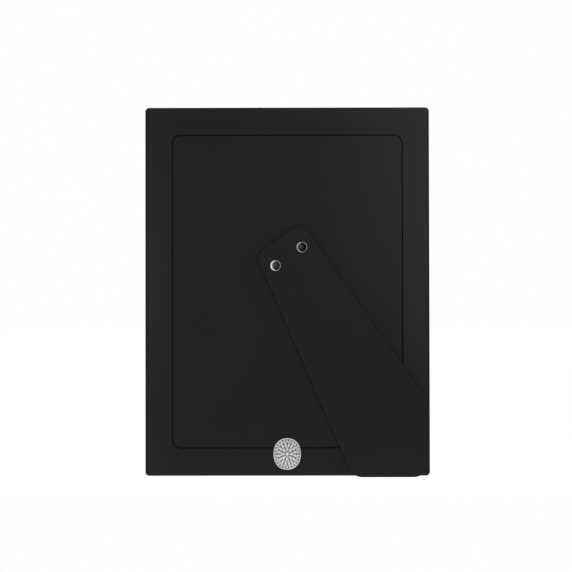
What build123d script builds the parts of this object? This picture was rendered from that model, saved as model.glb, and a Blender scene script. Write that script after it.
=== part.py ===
from build123d import *
import os
from math import cos, radians, sin, tan

# Easel back photo frame, upright with its strut folded shut. Millimetres.
# X runs to the right as seen from behind, Y from the back to the front, Z up.
# The origin is the middle of the base that the frame stands on.

# Outer form
FRAME_WIDTH = 172.6
FRAME_HEIGHT = 223.6
CORNER_RADIUS = 2.4
RING_EDGE_ROUND = 1.0

# Back ring and back panel, which lie flush with each other
BOARD_THICKNESS = 4.0
RING_SIDE = 16.2
RING_END = 16.7
OPENING_RADIUS = 5.5
PANEL_GAP = 0.5
PANEL_EDGE_ROUND = 0.3

# Front moulding, measured inwards from its outer side
RAIL_WIDTH = 24.3
REBATE_WALL = 19.3
LIP_THICKNESS = 4.2
SHOULDER_RADIUS = 3.0
CROWN_FLAT = 4.0
CROWN_RISE = 3.7
COVE_SAG = 1.2

# Plated slip round the sight edge
SLIP_LAND = 2.5
SLIP_THICKNESS = 0.8
SLIP_WALL = 1.0
SLIP_FIT = 0.1
SLIP_EDGE_ROUND = 0.25

# Stack behind the sight edge
GLASS_THICKNESS = 2.0
GLASS_FIT = 0.5
PRINT_THICKNESS = 0.3
PRINT_SIDE_MARGIN = 2.0
PRINT_END_MARGIN = 2.5
SPACER_THICKNESS = 2.0
SPACER_FIT = 0.7

# V nails across the mitres
NAIL_INSET = 5.0
NAIL_LEG = 6.0
NAIL_SPREAD = 80.0
NAIL_THICKNESS = 0.5
NAIL_HEIGHT = 7.0

# Locating pins in the panel's top edge
PIN_RADIUS = 1.0
PIN_SPACING = 90.0
PIN_INSET = 5.0
PIN_REACH = 2.4
PIN_ROOM = 0.3

# Strut, whose two rivets lie on a line tilted from the level
STRUT_TILT = 35.2
RIVET_SIDE = 1.0
RIVET_HEIGHT = 132.85
RIVET_SPACING = 19.2
RIVET_EDGE = 8.7
STRUT_HEEL = 12.7
STRUT_FLARE = 11.75
STRUT_SIDE_INSET = 1.6
STRUT_TOP_RADIUS = 6.0
STRUT_SIDE_RADIUS = 3.0
STRUT_FOOT_RADIUS = 9.0
STRUT_THICKNESS = 3.6
STRUT_GAP = 0.3
STRUT_EDGE_ROUND = 0.5
OPEN_ANGLE = 30.0
STOP_CLEARANCE = 0.06

# Domed rivets
DOME_RADIUS = 3.35
DOME_RISE = 1.2
DOME_BRIM = 0.2
SHANK_RADIUS = 1.25
TAIL_RADIUS = 2.2
TAIL_RISE = 0.6
TAIL_ROOM = 0.8

# Strut hinge
LEAF_WIDTH = 28.0
LEAF_LENGTH = 18.5
LEAF_THICKNESS = 0.8
LEAF_FIT = 0.2
KNUCKLES = 5
KNUCKLE_GAP = 0.25
BARREL_RADIUS = 1.5
BARREL_CLEARANCE = 0.3
HINGE_PIN_RADIUS = 0.75
RUNNING_FIT = 0.05

# Flush rivets of the base leaf
BASE_HEAD_RADIUS = 2.0
BASE_SHANK_RADIUS = 1.0
BASE_HEAD_DEPTH = 0.8
BASE_RIVET_SPACING = 16.0
BASE_RIVET_DROP = 15.0
BASE_RIVET_TOP_DROP = 5.0

# Turn button
BUTTON_WIDTH = 16.65
BUTTON_LENGTH = 19.15
BUTTON_RISE = 4.85
PIVOT_SIDE = -0.25
PIVOT_HEIGHT = 8.8
BUTTON_GAP = 0.3
BUTTON_BASE = 0.9
BUTTON_RIM = 1.7
BUTTON_RIM_RISE = 0.6
BUTTON_EDGE_ROUND = 0.25
PETALS = 10
PETAL_LENGTH = 3.8
PETAL_WIDTH = 1.6
PETAL_RISE = 0.3
PETAL_LAP = 0.4
BOSS_RADIUS = 1.7
BOSS_RISE = 0.5

# Pivot of the turn button
STUD_RADIUS = 1.25
STUD_SEAT = 0.4
STUD_TAIL = 0.5
BUSH_WALL = 0.7
WASHER_RADIUS = 3.2
SPRING_RADIUS = 3.4
SPRING_SHEET = 0.3
SPRING_RISE = 0.8
NUT_RADIUS = 3.0
NUT_THICKNESS = 0.6
NUT_PLAY = 0.05
POCKET_ROOM = 0.5

# Clearance of a piece that is fixed in its hole
FIXED_FIT = 0.02

# Depths from the back face
PRINT_BACK = BOARD_THICKNESS + SPACER_THICKNESS
GLASS_BACK = PRINT_BACK + PRINT_THICKNESS
GLASS_FRONT = GLASS_BACK + GLASS_THICKNESS
LIP_FRONT = GLASS_FRONT + LIP_THICKNESS
SLIP_FRONT = LIP_FRONT + SLIP_THICKNESS
FRAME_DEPTH = SLIP_FRONT + CROWN_RISE

# The back face, with its sketches drawn in X and Z from the middle of the base
BACK_Y = -FRAME_DEPTH / 2
BACK = Plane(origin=(0, BACK_Y, 0), x_dir=(1, 0, 0), z_dir=(0, -1, 0))
MIDDLE = Pos(0, FRAME_HEIGHT / 2)
PIVOT = Pos(PIVOT_SIDE, PIVOT_HEIGHT)

# The hinge frame: its x axis is the rivet line, its y axis points to the strut's top edge
HINGE = Plane(
    origin=(RIVET_SIDE, BACK_Y, RIVET_HEIGHT),
    x_dir=(cos(radians(STRUT_TILT)), 0, sin(radians(STRUT_TILT))),
    z_dir=(0, -1, 0),
)
BARREL_ROOM = BARREL_RADIUS + BARREL_CLEARANCE
AXIS_RISE = STRUT_GAP / 2
# The strut's heel meets the panel, and stops the strut, at the open angle
HEEL_DROP = AXIS_RISE + BARREL_ROOM * cos(radians(OPEN_ANGLE)) - STOP_CLEARANCE
AXIS_UP = STRUT_HEEL - HEEL_DROP / sin(radians(OPEN_ANGLE))
BARREL = Plane(
    origin=HINGE.from_local_coords((0, AXIS_UP, AXIS_RISE)),
    x_dir=(0, -1, 0),
    z_dir=HINGE.x_dir,
)
STRUT_OUTER = STRUT_GAP + STRUT_THICKNESS


def plate(outline, near, far, plane=BACK):
    """A flat outline made solid between two heights over its plane, outwards positive."""
    return extrude(plane.offset(near) * outline, amount=far - near)


def turned(section, plane, x, y):
    """A section in radius and height, turned about the plane's normal at a point."""
    return plane.location * Pos(x, y, 0) * revolve(Plane.XZ * section, Axis.Z)


def outer_outline():
    return MIDDLE * RectangleRounded(FRAME_WIDTH, FRAME_HEIGHT, CORNER_RADIUS)


def inset_outline(side, end, radius=0):
    """A rectangle set in from the frame's sides and ends, with round corners if asked."""
    width = FRAME_WIDTH - 2 * side
    height = FRAME_HEIGHT - 2 * end
    if radius > 0:
        return MIDDLE * RectangleRounded(width, height, radius)
    return MIDDLE * Rectangle(width, height)


def rail_section():
    """The moulding's section: x inwards from the outer side, y from the back to the front."""
    shoulder = (0, FRAME_DEPTH - SHOULDER_RADIUS)
    crown = (SHOULDER_RADIUS, FRAME_DEPTH)
    cove_top = (SHOULDER_RADIUS + CROWN_FLAT, FRAME_DEPTH)
    cove_foot = (RAIL_WIDTH - SLIP_LAND, SLIP_FRONT)
    front = RadiusArc(shoulder, crown, SHOULDER_RADIUS) + Line(crown, cove_top)
    cove = SagittaArc(cove_top, cove_foot, -COVE_SAG)
    rest = Polyline(
        cove_foot,
        (RAIL_WIDTH - SLIP_LAND, LIP_FRONT),
        (RAIL_WIDTH, LIP_FRONT),
        (RAIL_WIDTH, GLASS_FRONT),
        (REBATE_WALL, GLASS_FRONT),
        (REBATE_WALL, BOARD_THICKNESS),
        (0, BOARD_THICKNESS),
        shoulder,
    )
    return make_face(front.edges() + cove.edges() + rest.edges())


def mitre_outlines():
    """The stretch of the frame that belongs to each rail, parted at the mitres."""
    half = FRAME_WIDTH / 2
    top = FRAME_HEIGHT
    reach = 1.5 * RAIL_WIDTH
    inner = half - reach
    high = top - reach
    return {
        "bottom_rail": [(-half, 0), (half, 0), (inner, reach), (-inner, reach)],
        "top_rail": [(half, top), (-half, top), (-inner, high), (inner, high)],
        "left_rail": [(-half, top), (-half, 0), (-inner, reach), (-inner, high)],
        "right_rail": [(half, 0), (half, top), (inner, high), (inner, reach)],
    }


def corner_nails():
    """One V nail across each mitre, driven in from the back of the rails."""
    legs = [Rot(0, 0, side * NAIL_SPREAD / 2) for side in (-1, 1)]
    leg = Rectangle(NAIL_LEG, NAIL_THICKNESS, align=(Align.MIN, Align.CENTER))
    vee = legs[0] * leg + legs[1] * leg
    x = FRAME_WIDTH / 2 - NAIL_INSET
    low = NAIL_INSET
    high = FRAME_HEIGHT - NAIL_INSET
    places = [(x, low, 135), (-x, low, 45), (-x, high, -45), (x, high, -135)]
    deep = -BOARD_THICKNESS - NAIL_HEIGHT
    return [
        plate(Pos(px, pz) * Rot(0, 0, turn) * vee, deep, -BOARD_THICKNESS)
        for px, pz, turn in places
    ]


def nut_pocket():
    """Room in the bottom rail for the turn button's spring, nut and stud end."""
    radius = max(SPRING_RADIUS, NUT_RADIUS) + POCKET_ROOM
    return plate(PIVOT * Circle(radius), stud_end() - POCKET_ROOM, -BOARD_THICKNESS)


def rails(nails):
    """Four mitred rails of one moulding."""
    section = rail_section()
    half = FRAME_WIDTH / 2
    middle = FRAME_HEIGHT / 2
    sides = {
        "bottom_rail": ((0, BACK_Y, 0), (0, 0, 1), (-1, 0, 0), FRAME_WIDTH),
        "top_rail": ((0, BACK_Y, FRAME_HEIGHT), (0, 0, -1), (1, 0, 0), FRAME_WIDTH),
        "left_rail": ((-half, BACK_Y, middle), (1, 0, 0), (0, 0, 1), FRAME_HEIGHT),
        "right_rail": ((half, BACK_Y, middle), (-1, 0, 0), (0, 0, -1), FRAME_HEIGHT),
    }
    block = plate(outer_outline(), -FRAME_DEPTH, 0)
    made = {}
    for name, (origin, inwards, along, length) in sides.items():
        plane = Plane(origin=origin, x_dir=inwards, z_dir=along)
        bar = extrude(plane * section, amount=length / 2, both=True)
        stretch = plate(Polygon(*mitre_outlines()[name], align=None), -FRAME_DEPTH, 0)
        rail = bar & stretch & block
        for nail in nails:
            rail -= nail
        made[name] = rail
    made["bottom_rail"] -= nut_pocket()
    return made


def locating_pin_bores(radius, low, high):
    """Upright rods at the two locating pins' places."""
    plane = Plane(origin=(0, BACK_Y + BOARD_THICKNESS / 2, 0), x_dir=(1, 0, 0), z_dir=(0, 0, 1))
    return [plate(Pos(side * PIN_SPACING / 2, 0) * Circle(radius), low, high, plane) for side in (-1, 1)]


def back_ring():
    opening = inset_outline(RING_SIDE, RING_END, OPENING_RADIUS)
    ring = plate(outer_outline() - opening, -BOARD_THICKNESS, 0)
    face = ring.faces().sort_by(Axis.Y)[0]
    ring = fillet(face.outer_wire().edges(), min(RING_EDGE_ROUND, 0.9 * CORNER_RADIUS))
    face = ring.faces().sort_by(Axis.Y)[0]
    ring = fillet(face.inner_wires()[0].edges(), PANEL_EDGE_ROUND)
    ring -= plate(PIVOT * Circle(bush_radius() + FIXED_FIT), -BOARD_THICKNESS, 0)
    edge = FRAME_HEIGHT - RING_END
    for bore in locating_pin_bores(PIN_RADIUS + PIN_ROOM, edge - PANEL_GAP, edge + PIN_REACH + PIN_ROOM):
        ring -= bore
    return ring


def panel_top():
    return FRAME_HEIGHT - RING_END - PANEL_GAP


def back_panel():
    """The door, let in for the hinge's base leaf and barrel."""
    outline = inset_outline(RING_SIDE + PANEL_GAP, RING_END + PANEL_GAP, OPENING_RADIUS - PANEL_GAP)
    panel = plate(outline, -BOARD_THICKNESS, 0)
    face = panel.faces().sort_by(Axis.Y)[0]
    panel = fillet(face.outer_wire().edges(), PANEL_EDGE_ROUND)
    panel -= plate(leaf_outline(LEAF_FIT), -LEAF_THICKNESS, 0, HINGE)
    panel -= plate(barrel_outline(), AXIS_RISE - BARREL_ROOM, 0, HINGE)
    for rivet in base_rivets(FIXED_FIT):
        panel -= rivet
    for bore in locating_pin_bores(PIN_RADIUS + FIXED_FIT, panel_top() - PIN_INSET, panel_top()):
        panel -= bore
    return panel


def locating_pins():
    return locating_pin_bores(PIN_RADIUS, panel_top() - PIN_INSET, panel_top() + PANEL_GAP + PIN_REACH)


def sight_slip():
    """A plated L section: a wall through the sight opening and a flange over the moulding's edge."""
    wall = RAIL_WIDTH + SLIP_FIT
    sight = wall + SLIP_WALL
    land = RAIL_WIDTH - SLIP_LAND + SLIP_FIT
    opening = inset_outline(sight, sight)
    slip = plate(inset_outline(wall, wall) - opening, -SLIP_FRONT, -GLASS_FRONT)
    slip += plate(inset_outline(land, land) - opening, -SLIP_FRONT, -LIP_FRONT)
    face = slip.faces().sort_by(Axis.Y)[-1]
    return fillet(face.edges(), SLIP_EDGE_ROUND)


def glass_pane():
    inset = REBATE_WALL + GLASS_FIT
    return plate(inset_outline(inset, inset), -GLASS_FRONT, -GLASS_BACK)


def photo_print():
    outline = inset_outline(REBATE_WALL + PRINT_SIDE_MARGIN, REBATE_WALL + PRINT_END_MARGIN)
    return plate(outline, -GLASS_BACK, -PRINT_BACK)


def spacer_board():
    inset = REBATE_WALL + SPACER_FIT
    return plate(inset_outline(inset, inset), -PRINT_BACK, -BOARD_THICKNESS)


def leaf_outline(grow=0):
    """A hinge leaf, from the barrel's axis down under the strut."""
    sheet = Rectangle(LEAF_WIDTH + 2 * grow, LEAF_LENGTH + grow, align=(Align.CENTER, Align.MAX))
    return Pos(0, AXIS_UP) * sheet


def barrel_outline():
    return Pos(0, AXIS_UP) * Rectangle(LEAF_WIDTH + 2 * LEAF_FIT, 2 * BARREL_ROOM)


def knuckle_pitch():
    return LEAF_WIDTH / KNUCKLES


def knuckle_middle(index):
    return (index + 0.5) * knuckle_pitch() - LEAF_WIDTH / 2


def hinge_leaf(near, far, own):
    """A sheet leaf with its own knuckles, cut away for the other leaf's."""
    leaf = plate(leaf_outline(), near, far, HINGE)
    half = (knuckle_pitch() - KNUCKLE_GAP) / 2
    for index in range(KNUCKLES):
        middle = knuckle_middle(index)
        if index in own:
            leaf += plate(Circle(BARREL_RADIUS), middle - half, middle + half, BARREL)
        else:
            notch = Rectangle(knuckle_pitch() + KNUCKLE_GAP, 2 * BARREL_ROOM)
            leaf -= plate(Pos(middle, AXIS_UP) * notch, near, far, HINGE)
    reach = LEAF_WIDTH / 2
    return leaf - plate(Circle(HINGE_PIN_RADIUS + RUNNING_FIT), -reach, reach, BARREL)


def strut_rivet_places():
    return [(side * RIVET_SPACING / 2, 0) for side in (-1, 1)]


def base_rivet_places():
    half = BASE_RIVET_SPACING / 2
    low = AXIS_UP - BASE_RIVET_DROP
    return [(-half, low), (half, low), (0, AXIS_UP - BASE_RIVET_TOP_DROP)]


def base_rivets(grow=0):
    """Flush rivets from the base leaf's face to the panel's inside, or the holes for them."""
    head = BASE_HEAD_RADIUS + grow
    shank = BASE_SHANK_RADIUS + grow
    section = Polygon(
        (0, 0),
        (head, 0),
        (shank, -BASE_HEAD_DEPTH),
        (shank, BASE_HEAD_DEPTH - BOARD_THICKNESS),
        (head, -BOARD_THICKNESS),
        (0, -BOARD_THICKNESS),
        align=None,
    )
    return [turned(section, HINGE, x, y) for x, y in base_rivet_places()]


def base_leaf():
    leaf = hinge_leaf(-LEAF_THICKNESS, 0, range(0, KNUCKLES, 2))
    for rivet in base_rivets(FIXED_FIT):
        leaf -= rivet
    for x, y in strut_rivet_places():
        leaf -= plate(Pos(x, y) * Circle(TAIL_RADIUS + TAIL_ROOM), -LEAF_THICKNESS, 0, HINGE)
    return leaf


def strut_shank_holes():
    hole = Circle(SHANK_RADIUS + FIXED_FIT)
    return [plate(Pos(x, y) * hole, 0, STRUT_OUTER, HINGE) for x, y in strut_rivet_places()]


def strut_leaf():
    leaf = hinge_leaf(STRUT_GAP, STRUT_GAP + LEAF_THICKNESS, range(1, KNUCKLES, 2))
    for hole in strut_shank_holes():
        leaf -= hole
    return leaf


def hinge_pin():
    reach = LEAF_WIDTH / 2
    return plate(Circle(HINGE_PIN_RADIUS), -reach, reach, BARREL)


def on_back(along, up):
    """A point of the hinge frame in the back face's X and Z."""
    tilt = radians(STRUT_TILT)
    x = RIVET_SIDE + along * cos(tilt) - up * sin(tilt)
    z = RIVET_HEIGHT + along * sin(tilt) + up * cos(tilt)
    return x, z


def strut_outline():
    """Square top edge, one straight side, one flared side, and a foot level with the base."""
    half = RIVET_SPACING / 2 + RIVET_EDGE
    flare = tan(radians(STRUT_FLARE))
    tilt = radians(STRUT_TILT)
    side_x = FRAME_WIDTH / 2 - STRUT_SIDE_INSET
    top_left = on_back(-half + STRUT_HEEL * flare, STRUT_HEEL)
    top_right = on_back(half, STRUT_HEEL)
    side_z = top_right[1] - (side_x - top_right[0]) / tan(tilt)
    left_lean = tilt - radians(STRUT_FLARE)
    foot_x = top_left[0] + top_left[1] * tan(left_lean)
    corners = [top_left, top_right, (side_x, side_z), (side_x, 0), (foot_x, 0)]
    rounds = [
        STRUT_TOP_RADIUS,
        STRUT_TOP_RADIUS,
        STRUT_SIDE_RADIUS,
        STRUT_FOOT_RADIUS,
        STRUT_FOOT_RADIUS,
    ]
    return make_face(FilletPolyline(*corners, radius=rounds, close=True).edges())


def strut_board():
    """The easel leg, with its heel relieved over the barrel and its leaf let in."""
    board = plate(strut_outline(), STRUT_GAP, STRUT_OUTER)
    face = board.faces().sort_by(Axis.Y)[0]
    board = fillet(face.outer_wire().edges(), STRUT_EDGE_ROUND)
    heel_low = AXIS_UP - BARREL_ROOM
    heel = Rectangle(FRAME_WIDTH, 2 * STRUT_HEEL, align=(Align.CENTER, Align.MIN))
    board -= plate(Pos(0, heel_low) * heel, STRUT_GAP, AXIS_RISE + BARREL_ROOM, HINGE)
    board -= plate(leaf_outline(LEAF_FIT), STRUT_GAP, STRUT_GAP + LEAF_THICKNESS, HINGE)
    for hole in strut_shank_holes():
        board -= hole
    return board


def strut_rivets():
    """Domed rivets through the strut and its leaf, clinched over on the leaf."""
    crown = STRUT_OUTER + DOME_BRIM + DOME_RISE
    tail = STRUT_GAP - TAIL_RISE
    dome_bend = (DOME_RADIUS**2 + DOME_RISE**2) / (2 * DOME_RISE)
    tail_bend = (TAIL_RADIUS**2 + TAIL_RISE**2) / (2 * TAIL_RISE)
    dome = RadiusArc((0, crown), (DOME_RADIUS, STRUT_OUTER + DOME_BRIM), dome_bend)
    body = Polyline(
        (DOME_RADIUS, STRUT_OUTER + DOME_BRIM),
        (DOME_RADIUS, STRUT_OUTER),
        (SHANK_RADIUS, STRUT_OUTER),
        (SHANK_RADIUS, STRUT_GAP),
        (TAIL_RADIUS, STRUT_GAP),
    )
    clinch = RadiusArc((TAIL_RADIUS, STRUT_GAP), (0, tail), tail_bend)
    axis = Line((0, tail), (0, crown))
    section = make_face(dome.edges() + body.edges() + clinch.edges() + axis.edges())
    return [turned(section, HINGE, x, y) for x, y in strut_rivet_places()]


def bush_radius():
    return STUD_RADIUS + RUNNING_FIT + BUSH_WALL


def nut_seat():
    """Height of the nut's face over the back face, which is negative inside the frame."""
    return -BOARD_THICKNESS - SPRING_RISE - NUT_PLAY


def stud_end():
    return nut_seat() - NUT_THICKNESS - STUD_TAIL


def pivot_ring(inner, outer):
    return PIVOT * (Circle(outer) - Circle(inner))


def button_plate():
    """An oval plate with a raised rim and a plain rosette, pivoted below its middle."""
    centre = PIVOT * Pos(0, BUTTON_RISE)
    oval = Ellipse(BUTTON_WIDTH / 2, BUTTON_LENGTH / 2)
    field = Ellipse(BUTTON_WIDTH / 2 - BUTTON_RIM, BUTTON_LENGTH / 2 - BUTTON_RIM)
    base = BUTTON_GAP + BUTTON_BASE
    rim = plate(centre * (oval - field), BUTTON_GAP, base + BUTTON_RIM_RISE)
    top = rim.faces().sort_by(Axis.Y)[0]
    button = fillet(top.edges(), BUTTON_EDGE_ROUND)
    button += plate(centre * field, BUTTON_GAP, base)
    button += plate(centre * Circle(BOSS_RADIUS), base, base + BOSS_RISE)
    reach = BOSS_RADIUS - PETAL_LAP + PETAL_LENGTH / 2
    petal = Pos(reach, 0) * Ellipse(PETAL_LENGTH / 2, PETAL_WIDTH / 2)
    for index in range(PETALS):
        turn = Rot(0, 0, index * 360 / PETALS)
        button += plate(centre * turn * petal, base, base + PETAL_RISE)
    seat = PIVOT * Circle(STUD_RADIUS + FIXED_FIT)
    return button - plate(seat, BUTTON_GAP, BUTTON_GAP + STUD_SEAT)


def button_stud():
    return plate(PIVOT * Circle(STUD_RADIUS), stud_end(), BUTTON_GAP + STUD_SEAT)


def button_bush():
    return plate(pivot_ring(STUD_RADIUS + RUNNING_FIT, bush_radius()), -BOARD_THICKNESS, 0)


def button_washer():
    return plate(pivot_ring(STUD_RADIUS + RUNNING_FIT, WASHER_RADIUS), 0, BUTTON_GAP)


def button_spring():
    """A coned spring washer between the ring's inside and the nut."""
    inner = STUD_RADIUS + RUNNING_FIT
    back = -BOARD_THICKNESS
    section = Polygon(
        (SPRING_RADIUS, back),
        (SPRING_RADIUS, back - SPRING_SHEET),
        (inner, back - SPRING_RISE),
        (inner, back - SPRING_RISE + SPRING_SHEET),
        align=None,
    )
    return turned(section, BACK, PIVOT_SIDE, PIVOT_HEIGHT)


def button_nut():
    ring = pivot_ring(STUD_RADIUS + FIXED_FIT, NUT_RADIUS)
    return plate(ring, nut_seat() - NUT_THICKNESS, nut_seat())


def pieces():
    """Every piece by its name, in place."""
    nails = corner_nails()
    made = rails(nails)
    made["corner_nails"] = Compound(children=nails)
    made["back_ring"] = back_ring()
    made["back_panel"] = back_panel()
    made["locating_pins"] = Compound(children=locating_pins())
    made["sight_slip"] = sight_slip()
    made["glass_pane"] = glass_pane()
    made["photo_print"] = photo_print()
    made["spacer_board"] = spacer_board()
    made["base_leaf"] = base_leaf()
    made["base_rivets"] = Compound(children=base_rivets())
    made["hinge_pin"] = hinge_pin()
    made["strut_board"] = strut_board()
    made["strut_leaf"] = strut_leaf()
    made["strut_rivets"] = Compound(children=strut_rivets())
    made["button_plate"] = button_plate()
    made["button_stud"] = button_stud()
    made["button_bush"] = button_bush()
    made["button_washer"] = button_washer()
    made["button_spring"] = button_spring()
    made["button_nut"] = button_nut()
    return made


os.makedirs("parts", exist_ok=True)
for name, shape in pieces().items():
    export_step(shape, f"parts/{name}.step")
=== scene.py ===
from math import cos, hypot, pi, radians, sin

import bpy
from mathutils import Euler, Matrix, Vector


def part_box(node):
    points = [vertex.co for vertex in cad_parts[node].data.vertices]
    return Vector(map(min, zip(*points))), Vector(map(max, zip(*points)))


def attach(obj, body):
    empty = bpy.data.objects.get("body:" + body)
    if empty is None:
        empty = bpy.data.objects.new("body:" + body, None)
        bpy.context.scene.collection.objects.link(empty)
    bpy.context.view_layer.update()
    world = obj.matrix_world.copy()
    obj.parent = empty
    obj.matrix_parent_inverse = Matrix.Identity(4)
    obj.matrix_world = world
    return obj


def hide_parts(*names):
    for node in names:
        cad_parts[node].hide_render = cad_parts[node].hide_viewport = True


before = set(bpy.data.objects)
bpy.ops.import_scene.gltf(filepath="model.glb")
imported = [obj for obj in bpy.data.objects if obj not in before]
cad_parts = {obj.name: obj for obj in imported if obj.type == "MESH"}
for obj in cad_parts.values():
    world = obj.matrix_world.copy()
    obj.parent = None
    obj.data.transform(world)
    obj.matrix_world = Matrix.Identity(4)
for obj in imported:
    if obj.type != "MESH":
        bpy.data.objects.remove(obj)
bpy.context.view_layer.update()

# An easel back photo frame seen from behind, in metres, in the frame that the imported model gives.
MM = 0.001

# The photograph's own frame, in pixels: the middle and the width of the door's joint line
PHOTO_SIDE = 572
PHOTO_MIDDLE = (287.35, 291.3)
PHOTO_JOINT_WIDTH = 230.35
SENSOR = 36.0
VIEW_DISTANCE = 0.49
VIEW_PITCH = radians(0.48)
VIEW_YAW = radians(0.1)
VIEW_ROLL = radians(-0.095)

RING_LOW, RING_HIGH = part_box("back_ring")
PANEL_LOW, PANEL_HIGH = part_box("back_panel")
STRUT_LOW, STRUT_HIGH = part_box("strut_board")
RIVET_LOW, RIVET_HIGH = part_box("strut_rivets")
BUTTON_LOW, BUTTON_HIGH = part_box("button_plate")
PANEL_GAP = 0.5 * MM
JOINT_WIDTH = PANEL_HIGH.x - PANEL_LOW.x + PANEL_GAP
FRAME_WIDTH = RING_HIGH.x - RING_LOW.x
FRAME_HEIGHT = RING_HIGH.z - RING_LOW.z
CENTRE = Vector((0, RING_LOW.y, FRAME_HEIGHT / 2))
# The height where the painted light down the ring's sides is strongest
LIGHT_POOL_HEIGHT = 0.54 * FRAME_HEIGHT

# Tones of the black lacquer: cloudy body, worn spots, painted light on the ring's sides and opening walls,
# and dark lines for joints and painted edge shade
LACQUER_BODY = (0.0148, 0.0172)
LACQUER_WORN = 0.03
LACQUER_LIT_SIDES = 0.0208
LACQUER_LIT_WALLS = 0.045
LACQUER_LINE = 0.003

# Domed rivets, heights over the strut's outer face
HEAD_RADIUS = 3.35 * MM
HEAD_TOP = 1.3 * MM
HEAD_EDGE_ROUND = 1.0 * MM
HEAD_EDGE_SLOPES = (radians(25), radians(80))
HEAD_SEAT = -0.75 * MM
SHANK_RADIUS = 1.25 * MM
TAIL_RADIUS = 2.2 * MM
TAIL_RISE = 0.6 * MM
RIVET_STEPS = 96
# How far each rivet was set askew: a lean towards the left and a lean upwards
RIVET_LEANS = ((radians(11), radians(-0.5)), (radians(1), radians(0.5)))

# Stamped face of the turn button: heights over its deepest hollow, and places as shares of the
# way out from its middle. Its outline is an oval a little fuller than an ellipse, whose power is 2.
STAMP_DEPTH = 0.55 * MM
FULLNESS = 2.2
FIELD_RISE = 0.24 * MM
HOLLOW_RISE = 0.05 * MM
FIELD_EDGE = 0.73
# Rows round the button: the place of each, its half width and its rise
EDGE_ROLL = (0.955, 0.045, 0.55 * MM)
BEAD_ROW = (0.85, 0.058, 0.46 * MM)
WIRE = (0.765, 0.03, 0.42 * MM)
BOSS = (0.0, 0.12, 0.5 * MM)
BEADS = 26
BEAD_REACH = 0.44
# Rings of lobes: the count, the span outwards and the rise
FLUTES = (16, (0.40, 0.70), 0.4 * MM)
PETALS = (8, (0.15, 0.43), 0.5 * MM)
LOBE_REACH = 0.43
LOBE_ARC = (0.12, 0.88)
VEIN_REACH = 0.09
VEIN_DEPTH = 0.25
# The button's thin rim and its flat back, which is drawn in a little
BUTTON_RIM = 0.12 * MM
BUTTON_BACK = 0.985

# Edges of made pieces that turn by more than this stay sharp
SHARP_ANGLE = radians(38)


class Value:
    """One shader socket that can stand in sums, so that a finish reads as plain arithmetic."""

    def __init__(self, finish, socket):
        self.finish = finish
        self.socket = socket

    def out(self, name):
        """Another output of the same node."""
        return Value(self.finish, self.socket.node.outputs[name])

    def sum(self, operation, first, second):
        """The outcome of a sum of two values or numbers."""
        return self.finish.node("Math", {"operation": operation}, {0: first, 1: second})

    def __add__(self, other):
        return self.sum("ADD", self, other)

    def __radd__(self, other):
        return self.sum("ADD", other, self)

    def __sub__(self, other):
        return self.sum("SUBTRACT", self, other)

    def __rsub__(self, other):
        return self.sum("SUBTRACT", other, self)

    def __mul__(self, other):
        return self.sum("MULTIPLY", self, other)

    def __rmul__(self, other):
        return self.sum("MULTIPLY", other, self)

    def __truediv__(self, other):
        return self.sum("DIVIDE", self, other)

    def __pow__(self, other):
        return self.sum("POWER", self, other)

    def __abs__(self):
        return self.finish.node("Math", {"operation": "ABSOLUTE"}, {0: self})

    def most(self, other):
        return self.sum("MAXIMUM", self, other)

    def least(self, other):
        return self.sum("MINIMUM", self, other)


class Finish:
    """A node tree under construction: a material's, or the world's."""

    def __init__(self, owner):
        owner.use_nodes = True
        self.owner = owner
        self.tree = owner.node_tree
        self.tree.nodes.clear()

    def node(self, kind, settings, sockets):
        """A node of that kind, with its settings made first and its sockets set or linked."""
        made = self.tree.nodes.new("ShaderNode" + kind)
        for key, value in settings.items():
            setattr(made, key, value)
        for key, value in sockets.items():
            if isinstance(value, Value):
                self.tree.links.new(value.socket, made.inputs[key])
            else:
                made.inputs[key].default_value = value
        return Value(self, made.outputs[0]) if made.outputs else None

    def place(self):
        """Where a point is on the piece, in metres, riding with it."""
        return self.node("TexCoord", {}, {}).out("Object")

    def along(self, vector):
        """The three parts of a vector."""
        parts = self.node("SeparateXYZ", {}, {0: vector})
        return parts, parts.out("Y"), parts.out("Z")

    def noise(self, place, size, detail=3.0, roughness=0.55):
        """Cloudy noise from 0 to 1 whose lumps are about that size, in metres."""
        return self.node(
            "TexNoise",
            {},
            {"Vector": place, "Scale": 1 / size, "Detail": detail, "Roughness": roughness},
        )

    def stretched(self, place, scale):
        """A place scaled along each axis, so that marks run long where the scale is small."""
        return self.node("VectorMath", {"operation": "MULTIPLY"}, {0: place, 1: scale})

    def ease(self, value, low, high):
        """0 below low, 1 above high, smooth between."""
        return self.node(
            "MapRange",
            {"interpolation_type": "SMOOTHSTEP"},
            {"Value": value, "From Min": low, "From Max": high},
        )

    def blend(self, amount, first, second):
        """A colour from first to second."""
        mixed = self.node("Mix", {"data_type": "RGBA"}, {0: amount, 6: first, 7: second})
        return mixed.out(2)

    def bump(self, height, depth):
        """A normal from a height of 0 to 1 that stands for that depth."""
        return self.node("Bump", {}, {"Height": height, "Distance": depth, "Strength": 1.0})

    def edges(self, low, high):
        """1 on the rounded edges between flat faces, 0 on the faces."""
        x, y, z = self.along(self.node("TexCoord", {}, {}).out("Normal"))
        flat = abs(x).most(abs(y)).most(abs(z))
        return self.ease(1 - flat, low, high)

    def surface(self, sockets):
        """A principled surface as the material's own."""
        shader = self.node("BsdfPrincipled", {}, sockets)
        self.node("OutputMaterial", {}, {"Surface": shader})
        return self.owner


def grey(level):
    """A neutral colour."""
    return (level, level, level, 1)


def new_finish(name):
    """A finish on a new material of that name."""
    return Finish(bpy.data.materials.new(name))


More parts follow.
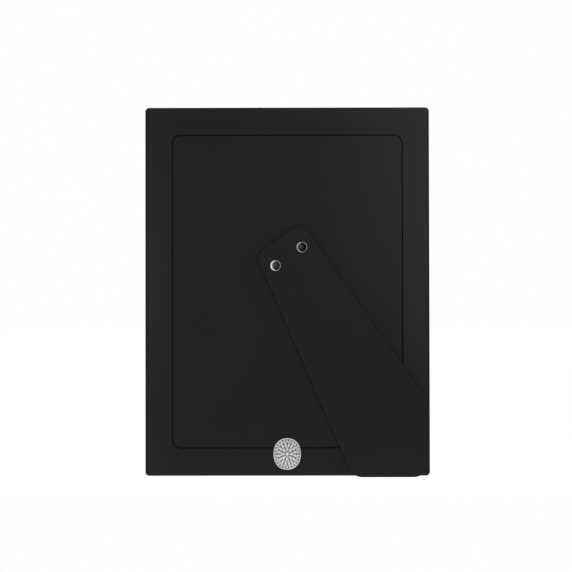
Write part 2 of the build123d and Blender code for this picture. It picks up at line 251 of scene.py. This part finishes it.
def black_lacquer(name, shade=1.0, edge_shade=0.0, lit_sides=False, mitred=False):
    """Satin black lacquer on fibreboard: cloudy tone, spray peel, nibs, edges rubbed a little, and painted
    shade as dark lines on the edges, as far as asked. A board with lit sides gets painted light, paler
    towards its rim and down its two sides, most at the height where that light is strongest, painted shade
    as a dark border down each side, and painted light on the walls of its opening. Mitred rails show their
    joints."""
    f = new_finish(name)
    place = f.place()
    cloud = f.noise(place, 45 * MM, 2.0)
    peel = f.noise(place, 0.9 * MM, 2.0)
    grain = f.noise(place, 0.16 * MM, 2.0)
    edges = f.edges(0.03, 0.25)
    rub = edges * f.ease(f.noise(place, 6 * MM, 4.0), 0.48, 0.7)
    tone = f.blend(cloud, grey(LACQUER_BODY[0] * shade), grey(LACQUER_BODY[1] * shade))
    tone = f.blend(rub * 0.15, tone, grey(LACQUER_WORN))
    # Painted shade: the rounded edges are drawn dark, as far as asked
    tone = f.blend(edges * edge_shade, tone, grey(LACQUER_LINE))
    height = peel * 0.75 + grain * 0.25
    if lit_sides or mitred:
        x, y, z = f.along(place)
        aside = FRAME_WIDTH / 2 - abs(x)
    if lit_sides:
        # Painted light: the ring is paler down its two sides and towards its rim, as if lit there
        sides = f.ease(abs(x), JOINT_WIDTH / 2 - 2 * MM, JOINT_WIDTH / 2 + 1 * MM)
        light_pool = 1 - f.ease(abs(z - LIGHT_POOL_HEIGHT), 10 * MM, 85 * MM)
        inwards = aside.least(FRAME_HEIGHT - z)
        rim = 1 - f.ease(inwards, 0.5 * MM, 10 * MM)
        tone = f.blend(sides * (0.15 + light_pool * 0.45) + rim * 0.3, tone, grey(LACQUER_LIT_SIDES * shade))
        # Painted shade: a dark border along the ring's outer edges
        border = 1 - f.ease(aside, 1.1 * MM, 2.0 * MM)
        tone = f.blend(border * 0.4, tone, grey(LACQUER_LINE))
        # Painted light: the walls of the opening are paler, which lightens the shade in the joint gap
        within = f.ease(inwards.least(z), 5 * MM, 8 * MM) * f.ease(y - RING_LOW.y, 0.25 * MM, 0.7 * MM)
        tone = f.blend(within, tone, grey(LACQUER_LIT_WALLS))
    if mitred:
        end = z.least(FRAME_HEIGHT - z)
        joint = 1 - f.ease(abs(aside - end), 0.03 * MM, 0.16 * MM)
        height = height - joint * 4
        tone = f.blend(joint * 0.7, tone, grey(LACQUER_LINE))
    return f.surface(
        {
            "Base Color": tone,
            "Roughness": 0.44 + cloud * 0.08 + grain * 0.06 + rub * 0.1,
            "Specular IOR Level": 0.05,
            "Normal": f.bump(height, 0.006 * MM),
        }
    )


def bright_nickel():
    """Polished nickel plate with hairline scuffs."""
    f = new_finish("bright_nickel")
    place = f.place()
    scuff = f.noise(f.stretched(place, (1, 1, 6)), 0.35 * MM, 4.0, 0.7)
    haze = f.noise(place, 1.8 * MM, 2.0)
    tone = f.blend(haze, (0.65, 0.65, 0.645, 1), (0.75, 0.75, 0.745, 1))
    return f.surface(
        {
            "Base Color": tone,
            "Metallic": 1.0,
            "Roughness": 0.045 + haze * 0.03 + f.ease(scuff, 0.55, 0.75) * 0.05,
            "Normal": f.bump(scuff, 0.002 * MM),
        }
    )


def stamped_silver():
    """Silver plate, bright on the relief and tarnished dark in its hollows."""
    f = new_finish("stamped_silver")
    place = f.place()
    y = f.along(place)[1]
    rise = (BUTTON_LOW.y + STAMP_DEPTH - y) / STAMP_DEPTH
    speck = f.noise(place, 0.25 * MM, 4.0, 0.7)
    cloud = f.noise(place, 3 * MM, 2.0)
    worn = f.ease(rise + (speck - 0.5) * 0.3, 0.1, 0.55)
    tone = f.blend(worn, (0.045, 0.045, 0.044, 1), (0.80, 0.80, 0.795, 1))
    tone = f.blend(cloud * 0.2, tone, (0.45, 0.445, 0.435, 1))
    return f.surface(
        {
            "Base Color": tone,
            "Metallic": 0.4 + worn * 0.15,
            "Roughness": 0.52 - worn * 0.12 + speck * 0.08,
            "Normal": f.bump(speck, 0.012 * MM),
        }
    )


def drawn_silver():
    """The sight slip's silver plate, with fine drawing marks along its four sides."""
    f = new_finish("drawn_silver")
    place = f.place()
    long_marks = f.noise(f.stretched(place, (1, 1, 0.02)), 0.12 * MM, 3.0)
    wide_marks = f.noise(f.stretched(place, (0.02, 1, 1)), 0.12 * MM, 3.0)
    x, _, z = f.along(place)
    end = FRAME_HEIGHT / 2 - abs(z - FRAME_HEIGHT / 2)
    side = FRAME_WIDTH / 2 - abs(x)
    upright = f.ease(end - side, 0, 0.2 * MM)
    marks = long_marks * upright + wide_marks * (1 - upright)
    tarnish = f.noise(place, 9 * MM, 3.0)
    tone = f.blend(tarnish, (0.7, 0.69, 0.66, 1), (0.83, 0.82, 0.8, 1))
    return f.surface(
        {
            "Base Color": tone,
            "Metallic": 1.0,
            "Roughness": 0.16 + marks * 0.12 + tarnish * 0.06,
            "Normal": f.bump(marks, 0.003 * MM),
        }
    )


def zinc_steel():
    """Zinc plated sheet and wire, with a rolled grain."""
    f = new_finish("zinc_steel")
    place = f.place()
    grain = f.noise(f.stretched(place, (1, 1, 0.08)), 0.2 * MM, 4.0)
    spangle = f.noise(place, 2.5 * MM, 3.0)
    tone = f.blend(spangle, (0.4, 0.41, 0.42, 1), (0.58, 0.58, 0.57, 1))
    return f.surface(
        {
            "Base Color": tone,
            "Metallic": 1.0,
            "Roughness": 0.3 + grain * 0.16,
            "Normal": f.bump(grain, 0.006 * MM),
        }
    )


def turned_brass():
    """Brass with tool marks round the turned pieces."""
    f = new_finish("turned_brass")
    place = f.place()
    marks = f.noise(f.stretched(place, (0.1, 1, 0.1)), 0.1 * MM, 2.0)
    tarnish = f.noise(place, 1.5 * MM, 3.0)
    tone = f.blend(tarnish, (0.5, 0.36, 0.15, 1), (0.72, 0.55, 0.27, 1))
    return f.surface(
        {
            "Base Color": tone,
            "Metallic": 1.0,
            "Roughness": 0.22 + marks * 0.14,
            "Normal": f.bump(marks, 0.004 * MM),
        }
    )


def pressed_board(name, dark, light, size):
    """Pressed fibre or grey board: flecks of fibre and a soft, dry surface."""
    f = new_finish(name)
    place = f.place()
    fibre = f.noise(f.stretched(place, (1, 1, 0.35)), size, 5.0, 0.65)
    cloud = f.noise(place, 20 * size, 2.0)
    tone = f.blend(f.ease(fibre * 0.7 + cloud * 0.3, 0.3, 0.7), dark, light)
    return f.surface(
        {
            "Base Color": tone,
            "Roughness": 0.82 + fibre * 0.12,
            "Normal": f.bump(fibre, 0.03 * MM),
        }
    )


def float_glass():
    """Clear float glass, a little green, that mirrors more the flatter it is looked at."""
    f = new_finish("float_glass")
    smear = f.noise(f.place(), 25 * MM, 3.0)
    facing = f.node("LayerWeight", {}, {"Blend": 0.5}).out("Facing")
    mirrored = 0.04 + facing ** 5.0 * 0.96
    clear = f.node("BsdfTransparent", {}, {"Color": (0.955, 0.985, 0.972, 1)})
    sheen = f.node(
        "BsdfPrincipled",
        {},
        {
            "Base Color": f.blend(smear, grey(0.94), grey(1.0)),
            "Metallic": 1.0,
            "Roughness": 0.01 + f.ease(smear, 0.5, 0.8) * 0.03,
        },
    )
    pane = f.node("MixShader", {}, {0: mirrored, 1: clear, 2: sheen})
    f.node("OutputMaterial", {}, {"Surface": pane})
    return f.owner


def satin_print():
    """A plain stand-in picture: soft hills under a pale sky, in warm greys."""
    f = new_finish("satin_print")
    place = f.place()
    x, _, z = f.along(place)
    rise = z / FRAME_HEIGHT
    across = f.node("CombineXYZ", {}, {"X": x})
    sky = f.blend(f.ease(rise, 0.4, 0.9), (0.62, 0.58, 0.52, 1), (0.36, 0.37, 0.38, 1))
    cloud = f.noise(f.stretched(place, (1, 1, 2.6)), 42 * MM, 5.0, 0.6)
    picture = f.blend(f.ease(cloud, 0.5, 0.75) * 0.45, sky, (0.8, 0.77, 0.72, 1))
    hills = (
        (0.47, 60, (0.3, 0.29, 0.27, 1)),
        (0.38, 85, (0.17, 0.165, 0.15, 1)),
        (0.27, 120, (0.08, 0.078, 0.07, 1)),
    )
    for number, (height, length, tone) in enumerate(hills):
        shifted = f.node("VectorMath", {"operation": "ADD"}, {0: across, 1: (number, number, 0)})
        ridge = height + (f.noise(shifted, length * MM, 4.0, 0.5) - 0.5) * 0.22
        picture = f.blend(f.ease(ridge - rise, 0, 0.012), picture, tone)
    grain = f.noise(place, 0.15 * MM, 2.0)
    wave = f.noise(place, 12 * MM, 2.0)
    picture = f.blend(grain * 0.12, picture, grey(0.2))
    return f.surface(
        {
            "Base Color": picture,
            "Roughness": 0.46 + grain * 0.1,
            "Normal": f.bump(wave, 0.02 * MM),
        }
    )


def smooth_mesh(name, points, faces, finish):
    """A smooth shaded mesh piece from points and faces."""
    mesh = bpy.data.meshes.new(name)
    mesh.from_pydata(points, [], faces)
    mesh.materials.append(finish)
    mesh.validate()
    mesh.shade_smooth()
    mesh.set_sharp_from_angle(angle=SHARP_ANGLE)
    piece = bpy.data.objects.new(name, mesh)
    bpy.context.scene.collection.objects.link(piece)
    return piece


def ring_faces(rings, steps):
    """Faces that close a first point, rings of points and a last point into one skin."""
    faces = []
    last = 1 + rings * steps
    for step in range(steps):
        after = (step + 1) % steps
        faces.append((0, 1 + step, 1 + after))
        for ring in range(rings - 1):
            here = 1 + ring * steps
            below = here + steps
            faces.append((here + step, below + step, below + after, here + after))
        base = last - steps
        faces.append((base + after, base + step, last))
    return faces


def lathe(profile, steps, matrix):
    """Points and faces of a profile of (radius, height) turned about the height axis, on which its
    first and last points lie."""
    points = [matrix @ Vector((0, 0, profile[0][1]))]
    for radius, height in profile[1:-1]:
        for step in range(steps):
            turn = 2 * pi * step / steps
            points.append(matrix @ Vector((radius * cos(turn), radius * sin(turn), height)))
    points.append(matrix @ Vector((0, 0, profile[-1][1])))
    return points, ring_faces(len(profile) - 2, steps)


def dome_profile(radius, top, edge, slopes, steps):
    """A low dome that rolls over into a rounded edge, from its crown outwards, as (radius, height).
    The two slopes are those where the roll starts and ends."""
    start, stop = slopes
    shoulder = radius - edge * (sin(stop) - sin(start))
    bend = shoulder / sin(start)
    crown = [start * step / steps for step in range(steps + 1)]
    profile = [(bend * sin(turn), top - bend * (1 - cos(turn))) for turn in crown]
    wide, low = profile[-1]
    for step in range(1, steps + 1):
        turn = start + (stop - start) * step / steps
        profile.append((wide + edge * (sin(turn) - sin(start)), low - edge * (cos(start) - cos(turn))))
    return profile


def rivet_profiles():
    """A domed head let a little into the board, and the shank with its clinched tail."""
    thickness = STRUT_HIGH.y - STRUT_LOW.y
    head = dome_profile(HEAD_RADIUS, HEAD_TOP, HEAD_EDGE_ROUND, HEAD_EDGE_SLOPES, steps=18)
    head += [(HEAD_RADIUS, HEAD_SEAT), (0, HEAD_SEAT)]
    clinch = dome_profile(TAIL_RADIUS, TAIL_RISE, TAIL_RISE / 2, HEAD_EDGE_SLOPES, steps=6)
    tail = [(radius, -thickness - max(0.0, height)) for radius, height in clinch]
    shank = [(0, HEAD_SEAT), (SHANK_RADIUS, HEAD_SEAT), (SHANK_RADIUS, -thickness)]
    return head, shank + tail[::-1]


def strut_rivets(finish):
    """Both rivets, each tipped a little about the middle of the board as hand set rivets are."""
    places = (
        Vector((RIVET_LOW.x + HEAD_RADIUS, STRUT_LOW.y, RIVET_LOW.z + HEAD_RADIUS)),
        Vector((RIVET_HIGH.x - HEAD_RADIUS, STRUT_LOW.y, RIVET_HIGH.z - HEAD_RADIUS)),
    )
    head, shank = rivet_profiles()
    outwards = Matrix.Rotation(radians(90), 4, "X")
    middle = Matrix.Translation((0, (STRUT_HIGH.y - STRUT_LOW.y) / 2, 0))
    points = []
    faces = []
    for place, (left, up) in zip(places, RIVET_LEANS):
        lean = Euler((-up, 0, -left)).to_matrix().to_4x4()
        seat = Matrix.Translation(place)
        tipped = seat @ middle @ lean @ middle.inverted()
        for profile, matrix in ((head, tipped @ outwards), (shank, seat @ outwards)):
            more_points, more_faces = lathe(profile, RIVET_STEPS, matrix)
            faces += [tuple(index + len(points) for index in face) for face in more_faces]
            points += more_points
    return smooth_mesh("rivet_heads", points, faces, finish)


def glass_pane(finish):
    """The pane with its ground edges, a hair clear of the print behind it and the lip before it."""
    low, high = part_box("glass_pane")
    clear = 0.04 * MM
    arris = 0.4 * MM
    back = low.y + clear
    front = high.y - clear
    points = [(0, back, (low.z + high.z) / 2)]
    for inset, y in ((arris, back), (0, back + arris), (0, front - arris), (arris, front)):
        points += [(low.x + inset, y, low.z + inset), (high.x - inset, y, low.z + inset)]
        points += [(high.x - inset, y, high.z - inset), (low.x + inset, y, high.z - inset)]
    points.append((0, front, (low.z + high.z) / 2))
    return smooth_mesh("ground_pane", points, ring_faces(4, 4), finish)


def full_oval(wide, high, turn):
    """The point of the button's outline at that turn about its middle."""
    reach = (abs(cos(turn)) ** FULLNESS + abs(sin(turn)) ** FULLNESS) ** (-1 / FULLNESS)
    return reach * wide * cos(turn), reach * high * sin(turn)


def oval_shares(outline):
    """How far round an outline each of its points lies, from 0 to 1."""
    runs = [0.0]
    for here, after in zip(outline, outline[1:] + outline[:1]):
        runs.append(runs[-1] + hypot(after[0] - here[0], after[1] - here[1]))
    return [run / runs[-1] for run in runs]


def hump(offset):
    """A round hump: 1 in the middle, 0 from an offset of 1 outwards."""
    return max(0.0, 1 - offset * offset) ** 0.5


def row(out, shape):
    """Height of a row round the button at that share of the way out."""
    place, reach, rise = shape
    return rise * hump((out - place) / reach)


def beads(out, share):
    """Height of the row of beads."""
    place, reach, rise = BEAD_ROW
    across = (share * BEADS) % 1 - 0.5
    return rise * hump(hypot(across / BEAD_REACH, (out - place) / reach))


def lobes(out, turn, shape):
    """Height of a ring of lobes, each round across, veined, and drawn in at its two ends."""
    count, span, rise = shape
    along = (out - span[0]) / (span[1] - span[0])
    if not 0 < along < 1:
        return 0.0
    across = (turn * count / (2 * pi)) % 1 - 0.5
    arc = LOBE_ARC[0] + (LOBE_ARC[1] - LOBE_ARC[0]) * along
    width = LOBE_REACH * sin(pi * arc) ** 0.5
    vein = VEIN_DEPTH * hump(across / VEIN_REACH)
    return rise * max(0.0, hump(across / width) - vein) * hump(2 * along - 1) ** 0.5


def stamped_height(out, turn, share):
    """Height of the button's face over its deepest hollow, by the share of the way out from its
    middle, the angle, and the share of the way round."""
    if out > FIELD_EDGE:
        return max(HOLLOW_RISE, row(out, EDGE_ROLL), row(out, WIRE), beads(out, share))
    flute = lobes(out, turn, FLUTES)
    petal = lobes(out, turn + pi / PETALS[0], PETALS)
    rosette = BOSS[1] <= out < FLUTES[1][1]
    return max(HOLLOW_RISE if rosette else FIELD_RISE, row(out, BOSS), flute, petal)


def button_plate(finish):
    """The stamped oval turn button: rolled edge, row of beads, wire line, flutes and a rosette."""
    wide = (BUTTON_HIGH.x - BUTTON_LOW.x) / 2
    high = (BUTTON_HIGH.z - BUTTON_LOW.z) / 2
    middle = (BUTTON_LOW + BUTTON_HIGH) / 2
    flat = BUTTON_HIGH.y
    deepest = BUTTON_LOW.y + STAMP_DEPTH
    rings = 110
    steps = 368
    turns = [2 * pi * step / steps for step in range(steps)]
    outline = [full_oval(wide, high, turn) for turn in turns]
    shares = oval_shares(outline)
    bands = []
    for ring in range(1, rings + 1):
        out = ring / rings
        heights = [stamped_height(out, turn, share) for turn, share in zip(turns, shares)]
        bands.append([(out, deepest - height) for height in heights])
    for out, y in ((1.0, flat - BUTTON_RIM), (BUTTON_BACK, flat)):
        bands.append([(out, y)] * steps)
    points = [(middle.x, deepest - stamped_height(0, 0, 0), middle.z)]
    for band in bands:
        for (x, z), (out, y) in zip(outline, band):
            points.append((middle.x + out * x, y, middle.z + out * z))
    points.append((middle.x, flat, middle.z))
    return smooth_mesh("stamped_button", points, ring_faces(len(bands), steps), finish)


def dress(finish, *nodes):
    """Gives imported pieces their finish."""
    for name in nodes:
        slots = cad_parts[name].data.materials
        slots.clear()
        slots.append(finish)


def area_lamp(name, place, width, height, power):
    """A soft box that looks at the middle of the frame's back."""
    data = bpy.data.lights.new(name, "AREA")
    data.shape = "RECTANGLE"
    data.size = width
    data.size_y = height
    data.energy = power
    lamp = bpy.data.objects.new(name, data)
    lamp.visible_camera = False
    lamp.visible_glossy = False
    lamp.location = place
    lamp.rotation_euler = (CENTRE - Vector(place)).to_track_quat("-Z", "Y").to_euler()
    bpy.context.scene.collection.objects.link(lamp)


def studio_world():
    """White wherever the camera looks. For light, a pale room that is dimmer at the frame's edges than
    before its two faces. For gloss, the white of the backdrop and the sides, and the dark of the room
    behind the camera."""
    f = Finish(bpy.context.scene.world or bpy.data.worlds.new("studio"))
    bpy.context.scene.world = f.owner
    x, y, z = f.along(f.node("TexCoord", {}, {}).out("Generated"))
    paths = f.node("LightPath", {}, {})
    seen = paths.out("Is Camera Ray").most(paths.out("Is Transmission Ray"))
    left = f.ease(0 - x, 0.0, 0.4) * f.ease(y, -0.72, -0.42)
    right = f.ease(x + 0.3 * z, 0.1, 0.45) * f.ease(z, -0.6, -0.1) * f.ease(y, -0.56, -0.3) * 0.7
    window = 0.1 * f.ease(0.3 * z - x, -0.15, 0.9)
    backdrop = f.ease(y, 0.1, 0.4)
    white = f.node("Background", {}, {"Color": grey(1.0), "Strength": 1.0})
    pale = f.node("Background", {}, {"Color": grey(1.0), "Strength": 4.77})
    dim = f.node("Background", {}, {"Color": grey(1.0), "Strength": 0.28})
    even = f.node("MixShader", {}, {0: f.ease(abs(y), 0.9, 1.0), 1: dim, 2: pale})
    dark = f.node("Background", {}, {"Color": grey(1.0), "Strength": 0.008})
    shine = left.most(right).most(window).most(backdrop)
    room = f.node("MixShader", {}, {0: shine, 1: dark, 2: white})
    light = f.node("MixShader", {}, {0: paths.out("Is Glossy Ray"), 1: even, 2: room})
    shown = f.node("MixShader", {}, {0: seen, 1: light, 2: white})
    f.node("OutputWorld", {}, {"Surface": shown})


def studio_floor():
    """A pale table top that reads as white and keeps a soft shadow. It neither lights the frame nor
    shades it."""
    side = 2.0
    front = -0.06
    back = 2.0
    corners = [(-side, front, 0), (side, front, 0), (side, back, 0), (-side, back, 0)]
    f = new_finish("pale_floor")
    cloud = f.noise(f.place(), 0.3, 2.0)
    shade = f.node("BsdfDiffuse", {}, {"Color": f.blend(cloud, grey(0.5), grey(0.53))})
    white = f.node("Emission", {}, {"Color": grey(1.0), "Strength": 0.86})
    f.node("OutputMaterial", {}, {"Surface": f.node("AddShader", {}, {0: white, 1: shade})})
    floor = smooth_mesh("floor", corners, [(0, 1, 2, 3)], f.owner)
    floor.visible_diffuse = False
    floor.visible_shadow = False


def camera():
    """The photograph's viewpoint: square on from behind, a little below the middle."""
    data = bpy.data.cameras.new("camera")
    data.sensor_width = SENSOR
    pixels_per_metre = PHOTO_JOINT_WIDTH / JOINT_WIDTH
    data.lens = SENSOR * pixels_per_metre * VIEW_DISTANCE / PHOTO_SIDE
    view = bpy.data.objects.new("camera", data)
    level = Euler((radians(90) + VIEW_PITCH, 0, VIEW_YAW)).to_matrix()
    turn = level @ Matrix.Rotation(VIEW_ROLL, 3, "Z")
    right = (PHOTO_MIDDLE[0] - PHOTO_SIDE / 2) / pixels_per_metre
    down = (PHOTO_MIDDLE[1] - PHOTO_SIDE / 2) / pixels_per_metre
    view.rotation_euler = turn.to_euler()
    view.location = CENTRE - turn @ Vector((right, -down, -VIEW_DISTANCE))
    bpy.context.scene.collection.objects.link(view)
    bpy.context.scene.camera = view


# The ring gets painted light on its sides, rim and opening walls, and painted shade on its outer edges
dress(black_lacquer("ring_lacquer", lit_sides=True), "back_ring")
dress(black_lacquer("door_lacquer"), "back_panel", "locating_pins")
# The strut's edges get painted shade as dark lines
dress(black_lacquer("strut_lacquer", shade=0.96, edge_shade=0.5), "strut_board")
dress(black_lacquer("rail_lacquer", mitred=True), "bottom_rail", "top_rail", "left_rail", "right_rail")
dress(drawn_silver(), "sight_slip")
dress(zinc_steel(), "corner_nails", "base_leaf", "strut_leaf", "hinge_pin", "base_rivets", "button_spring",
      "button_nut")
dress(turned_brass(), "button_stud", "button_bush")
fibre = pressed_board("pressed_fibre", (0.09, 0.03, 0.02, 1), (0.17, 0.06, 0.035, 1), 0.2 * MM)
dress(fibre, "button_washer")
board = pressed_board("grey_board", (0.3, 0.29, 0.27, 1), (0.46, 0.44, 0.41, 1), 0.6 * MM)
dress(board, "spacer_board")
dress(satin_print(), "photo_print")

rivets = strut_rivets(bright_nickel())
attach(rivets, "strut")
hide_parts("strut_rivets")

pane = glass_pane(float_glass())
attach(pane, "frame")
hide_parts("glass_pane")

button = button_plate(stamped_silver())
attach(button, "turn_button")
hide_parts("button_plate")

studio_world()
studio_floor()
area_lamp("left_box", (-0.16, -0.12, 0.12), width=0.1, height=0.25, power=0.061)
area_lamp("right_box", (0.13, -0.08, 0.19), width=0.06, height=0.18, power=0.098)
camera()
bpy.context.scene.view_settings.view_transform = "Standard"
